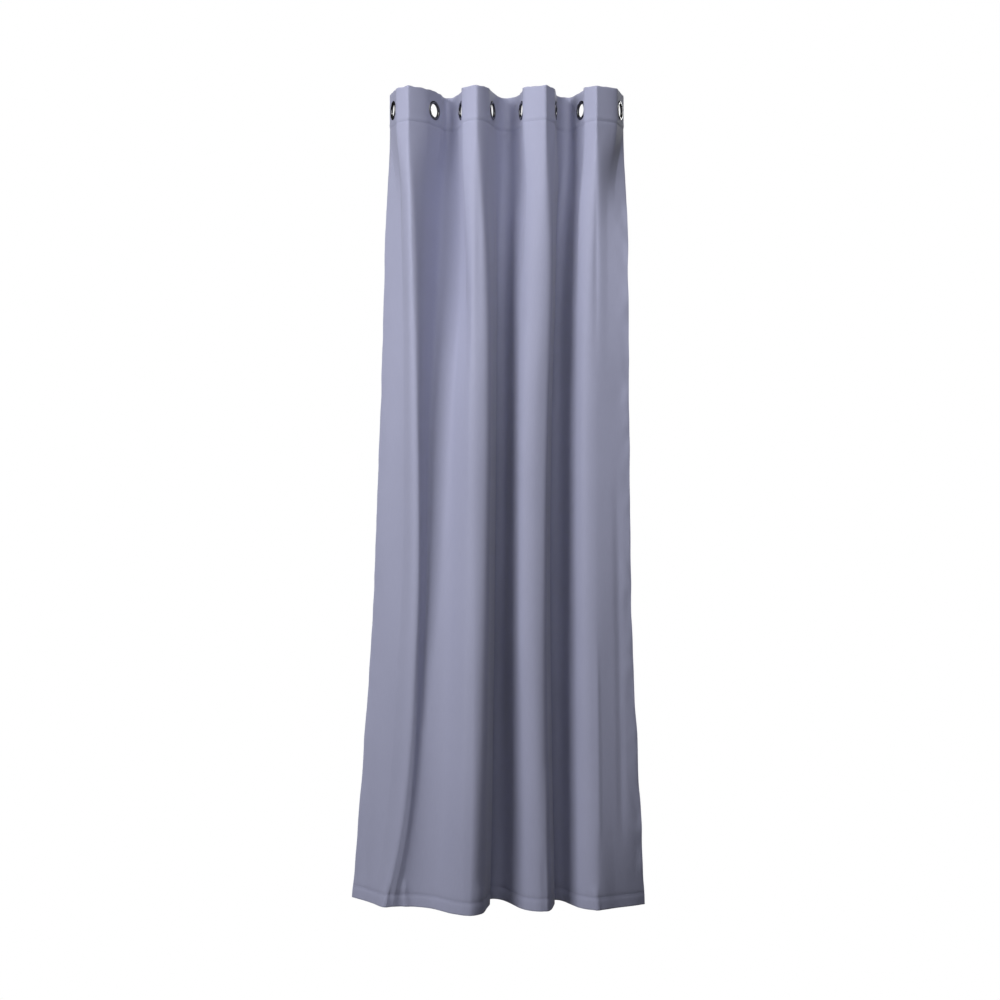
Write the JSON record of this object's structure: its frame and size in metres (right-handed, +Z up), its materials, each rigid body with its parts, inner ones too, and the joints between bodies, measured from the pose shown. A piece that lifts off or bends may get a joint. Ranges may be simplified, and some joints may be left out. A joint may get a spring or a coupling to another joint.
{
  "type": "curtain panel",
  "caption": "Full-length curtain panel hanging in deep soft folds from a stiffened heading with round metal eyelets for a rod.",
  "frame": {"origin": "on the line through the centres of the eyelets, midway between the first and the last", "axes": "+Z up, +X along the rod to the right as seen from the room, -Y towards the room"},
  "size_m": [0.852, 0.2137, 2.45],
  "materials": {
    "cloth": "fine satin-backed dim-out weave, matt with a soft sheen",
    "stiffener": "bonded non-woven",
    "thread": "spun polyester thread",
    "nickel": "polished black nickel plate",
    "label": "plain white satin ribbon"
  },
  "bodies": {
    "strip_1": {"heading_1": "cloth", "drop_1": "cloth", "stiffener_1": "stiffener", "heading_seam_1": "thread", "hem_seam_1": "thread", "eyelet_1": "nickel", "eyelet_back_1": "nickel"},
    "strip_2": {"heading_2": "cloth", "drop_2": "cloth", "stiffener_2": "stiffener", "heading_seam_2": "thread", "hem_seam_2": "thread", "eyelet_2": "nickel", "eyelet_back_2": "nickel"},
    "strip_3": {"heading_3": "cloth", "drop_3": "cloth", "stiffener_3": "stiffener", "heading_seam_3": "thread", "hem_seam_3": "thread", "eyelet_3": "nickel", "eyelet_back_3": "nickel"},
    "strip_4": {"heading_4": "cloth", "drop_4": "cloth", "stiffener_4": "stiffener", "heading_seam_4": "thread", "hem_seam_4": "thread", "eyelet_4": "nickel", "eyelet_back_4": "nickel"},
    "strip_5": {"heading_5": "cloth", "drop_5": "cloth", "stiffener_5": "stiffener", "heading_seam_5": "thread", "hem_seam_5": "thread", "eyelet_5": "nickel", "eyelet_back_5": "nickel"},
    "strip_6": {"heading_6": "cloth", "drop_6": "cloth", "stiffener_6": "stiffener", "heading_seam_6": "thread", "hem_seam_6": "thread", "eyelet_6": "nickel", "eyelet_back_6": "nickel"},
    "strip_7": {"heading_7": "cloth", "drop_7": "cloth", "stiffener_7": "stiffener", "heading_seam_7": "thread", "hem_seam_7": "thread", "eyelet_7": "nickel", "eyelet_back_7": "nickel"},
    "strip_8": {"heading_8": "cloth", "drop_8": "cloth", "stiffener_8": "stiffener", "heading_seam_8": "thread", "hem_seam_8": "thread", "eyelet_8": "nickel", "eyelet_back_8": "nickel", "care_label": "label"}
  },
  "joints": [
    {"name": "draw_1_2", "type": "slide", "parent": "strip_1", "child": "strip_2", "axis": [-1, 0, 0], "range_m": [-0.035, 0.03]},
    {"name": "draw_2_3", "type": "slide", "parent": "strip_2", "child": "strip_3", "axis": [-1, 0, 0], "range_m": [-0.035, 0.03]},
    {"name": "draw_3_4", "type": "slide", "parent": "strip_3", "child": "strip_4", "axis": [-1, 0, 0], "range_m": [-0.035, 0.03]},
    {"name": "draw_4_5", "type": "slide", "parent": "strip_4", "child": "strip_5", "axis": [-1, 0, 0], "range_m": [-0.035, 0.03]},
    {"name": "draw_5_6", "type": "slide", "parent": "strip_5", "child": "strip_6", "axis": [-1, 0, 0], "range_m": [-0.035, 0.03]},
    {"name": "draw_6_7", "type": "slide", "parent": "strip_6", "child": "strip_7", "axis": [-1, 0, 0], "range_m": [-0.035, 0.03]},
    {"name": "draw_7_8", "type": "slide", "parent": "strip_7", "child": "strip_8", "axis": [-1, 0, 0], "range_m": [-0.035, 0.03]}
  ],
  "couplings": [
    {"joint": "draw_2_3", "follows": "draw_1_2", "ratio": 1},
    {"joint": "draw_3_4", "follows": "draw_1_2", "ratio": 1},
    {"joint": "draw_4_5", "follows": "draw_1_2", "ratio": 1},
    {"joint": "draw_5_6", "follows": "draw_1_2", "ratio": 1},
    {"joint": "draw_6_7", "follows": "draw_1_2", "ratio": 1},
    {"joint": "draw_7_8", "follows": "draw_1_2", "ratio": 1}
  ]
}
